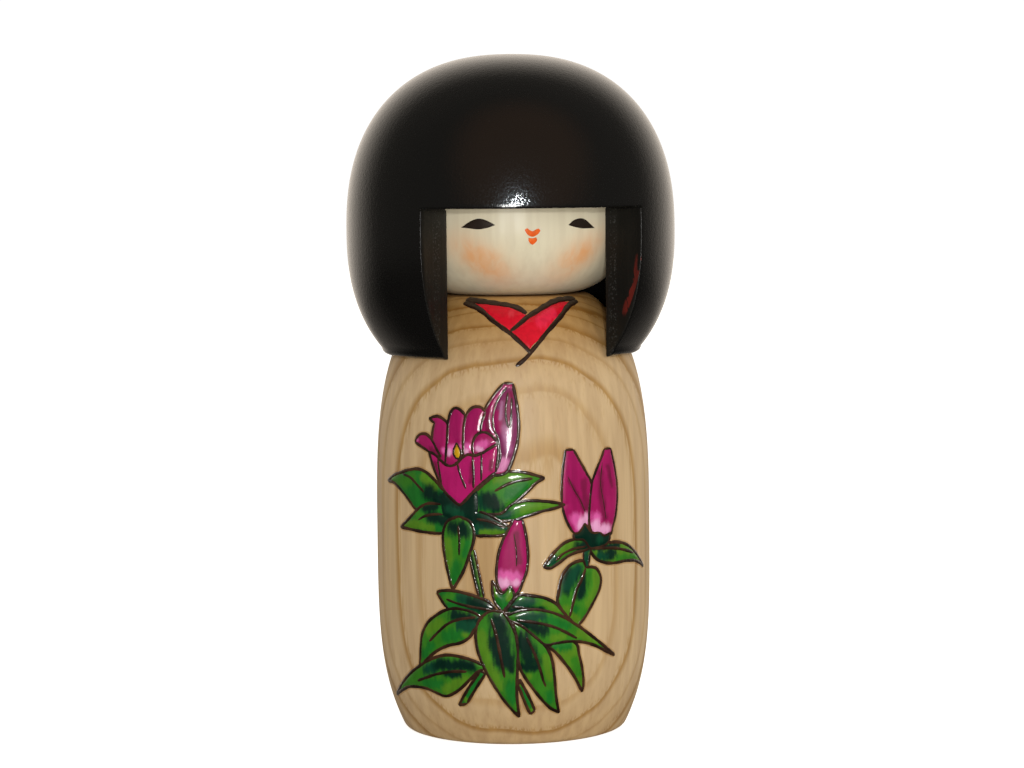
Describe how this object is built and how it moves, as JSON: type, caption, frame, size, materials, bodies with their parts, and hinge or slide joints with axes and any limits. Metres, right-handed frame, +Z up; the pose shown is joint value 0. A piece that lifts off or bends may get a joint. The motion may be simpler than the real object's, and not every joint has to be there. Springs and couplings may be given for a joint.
{
  "type": "kokeshi doll",
  "caption": "Turned wooden doll: rounded body, head with a black bob-cut hair cap that turns on a neck peg, and raised enamel flowers.",
  "frame": {"origin": "centre of the flat base that the doll stands on", "axes": "+Z up along the turning axis, the face looks along -Y, +X to the viewer's right"},
  "size_m": [0.073, 0.0728, 0.15],
  "materials": {
    "body_wood": "satin",
    "peg_wood": "matte",
    "face_paint": "satin",
    "hair_lacquer": "gloss",
    "collar_enamel": "satin",
    "petal_enamel": "gloss",
    "stamen_enamel": "gloss",
    "leaf_enamel": "gloss",
    "stem_enamel": "gloss",
    "burnt_line": "satin",
    "eye_lacquer": "satin",
    "lip_lacquer": "satin"
  },
  "bodies": {
    "body": {"body": "body_wood", "collar_enamel": "collar_enamel", "blossom_enamel": "petal_enamel", "stamen_enamel": "stamen_enamel", "bud_enamel": "petal_enamel", "leaf_enamel": "leaf_enamel", "stem_enamel": "stem_enamel"},
    "head": {"face_core": "face_paint", "hair_cap": "hair_lacquer", "neck_peg": "peg_wood", "eye_lacquer": "eye_lacquer", "lip_lacquer": "lip_lacquer"}
  },
  "joints": [
    {"name": "head_turn", "type": "hinge", "parent": "body", "child": "head", "pos_m": [0, 0, 0.084], "axis": [0, 0, 1], "continuous": true}
  ]
}
